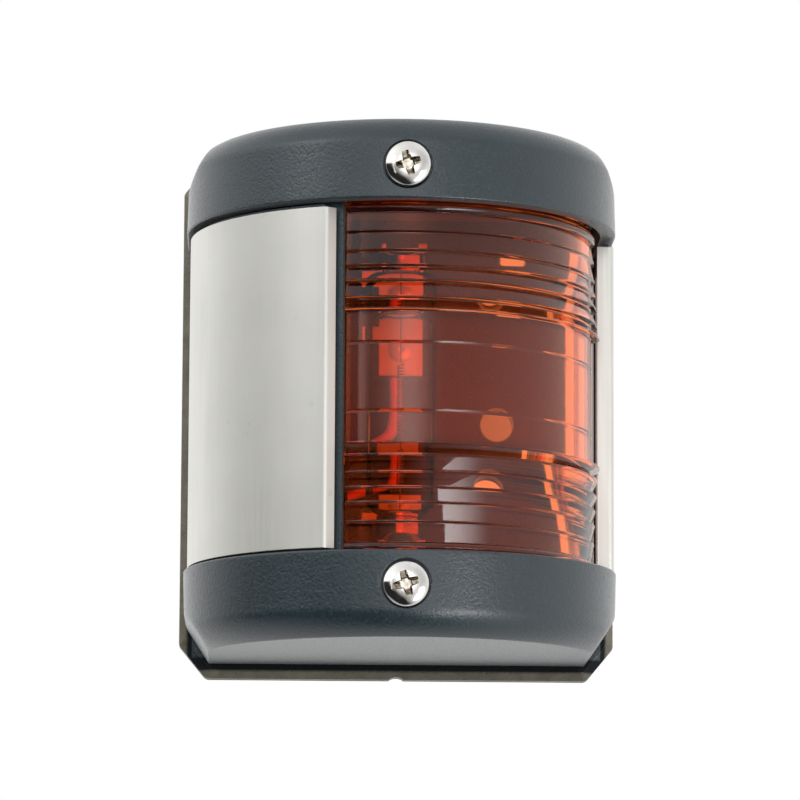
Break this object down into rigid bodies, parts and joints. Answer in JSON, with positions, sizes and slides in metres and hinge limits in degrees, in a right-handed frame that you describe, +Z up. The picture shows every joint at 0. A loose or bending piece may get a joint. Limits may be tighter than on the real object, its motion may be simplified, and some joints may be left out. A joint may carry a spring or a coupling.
{
  "type": "side navigation light",
  "caption": "Wall-mounted boat side light: ribbed red lens on a black base between two end caps, stainless side shields, festoon bulb and sprung contacts inside.",
  "frame": {"origin": "centre of the mounting face, which is the back of the gasket, at mid-height and mid-width of the wall plate", "axes": "+Z up as pictured, +Y into the wall, -Y the way the light faces, +X the side that the lit sector opens to"},
  "size_m": [0.0662, 0.0511, 0.08],
  "materials": {
    "housing_plastic": "dark blue-grey moulded ABS with a fine grain",
    "lens_red": "clear deep red moulded lens with horizontal prism ribs",
    "stainless": "satin stainless sheet",
    "screw_metal": "bright nickel plate",
    "rubber": "soft black rubber",
    "bulb_glass": "clear glass",
    "tungsten": "dark drawn wire",
    "contact_brass": "sprung brass strip",
    "wire_red": "red cable insulation",
    "wire_black": "black cable insulation"
  },
  "bodies": {
    "base": {"mount_gasket": "rubber", "base_housing": "housing_plastic", "left_shield": "stainless", "right_shield": "stainless", "upper_contact": "contact_brass", "lower_contact": "contact_brass", "upper_contact_rivet": "screw_metal", "lower_contact_rivet": "screw_metal", "cable_grommet": "rubber", "supply_wire_positive": "wire_red", "supply_wire_negative": "wire_black"},
    "lens": {"lens": "lens_red", "upper_lens_seal": "rubber", "lower_lens_seal": "rubber"},
    "upper_cap": {"upper_cap": "housing_plastic"},
    "lower_cap": {"lower_cap": "housing_plastic"},
    "upper_washer": {"upper_screw_washer": "rubber"},
    "lower_washer": {"lower_screw_washer": "rubber"},
    "upper_screw": {"upper_cover_screw": "screw_metal"},
    "lower_screw": {"lower_cover_screw": "screw_metal"},
    "bulb": {"bulb_glass": "bulb_glass", "bulb_upper_cap": "screw_metal", "bulb_lower_cap": "screw_metal", "bulb_filament": "tungsten"}
  },
  "joints": [
    {"name": "lens_slide", "type": "slide", "parent": "base", "child": "lens", "axis": [0, -1, 0], "range_m": [0, 0.05]},
    {"name": "upper_cap_slide", "type": "slide", "parent": "lens", "child": "upper_cap", "axis": [0, -1, 0], "range_m": [0, 0.04]},
    {"name": "lower_cap_slide", "type": "slide", "parent": "lens", "child": "lower_cap", "axis": [0, -1, 0], "range_m": [0, 0.04]},
    {"name": "upper_screw_travel", "type": "slide", "parent": "upper_cap", "child": "upper_washer", "axis": [0, -1, 0], "range_m": [0, 0.013]},
    {"name": "upper_screw_turn", "type": "hinge", "parent": "upper_washer", "child": "upper_screw", "pos_m": [0, -0.05, 0.0305], "axis": [0, -1, 0], "range_deg": [0, 3600]},
    {"name": "lower_screw_travel", "type": "slide", "parent": "lower_cap", "child": "lower_washer", "axis": [0, -1, 0], "range_m": [0, 0.013]},
    {"name": "lower_screw_turn", "type": "hinge", "parent": "lower_washer", "child": "lower_screw", "pos_m": [0, -0.05, -0.0305], "axis": [0, -1, 0], "range_deg": [0, 3600]},
    {"name": "bulb_slide", "type": "slide", "parent": "base", "child": "bulb", "axis": [0, -1, 0], "range_m": [0, 0.012]}
  ],
  "couplings": [
    {"joint": "upper_screw_turn", "follows": "upper_screw_travel", "rad_per_m": 4833.2},
    {"joint": "lower_screw_turn", "follows": "lower_screw_travel", "rad_per_m": 4833.2}
  ]
}
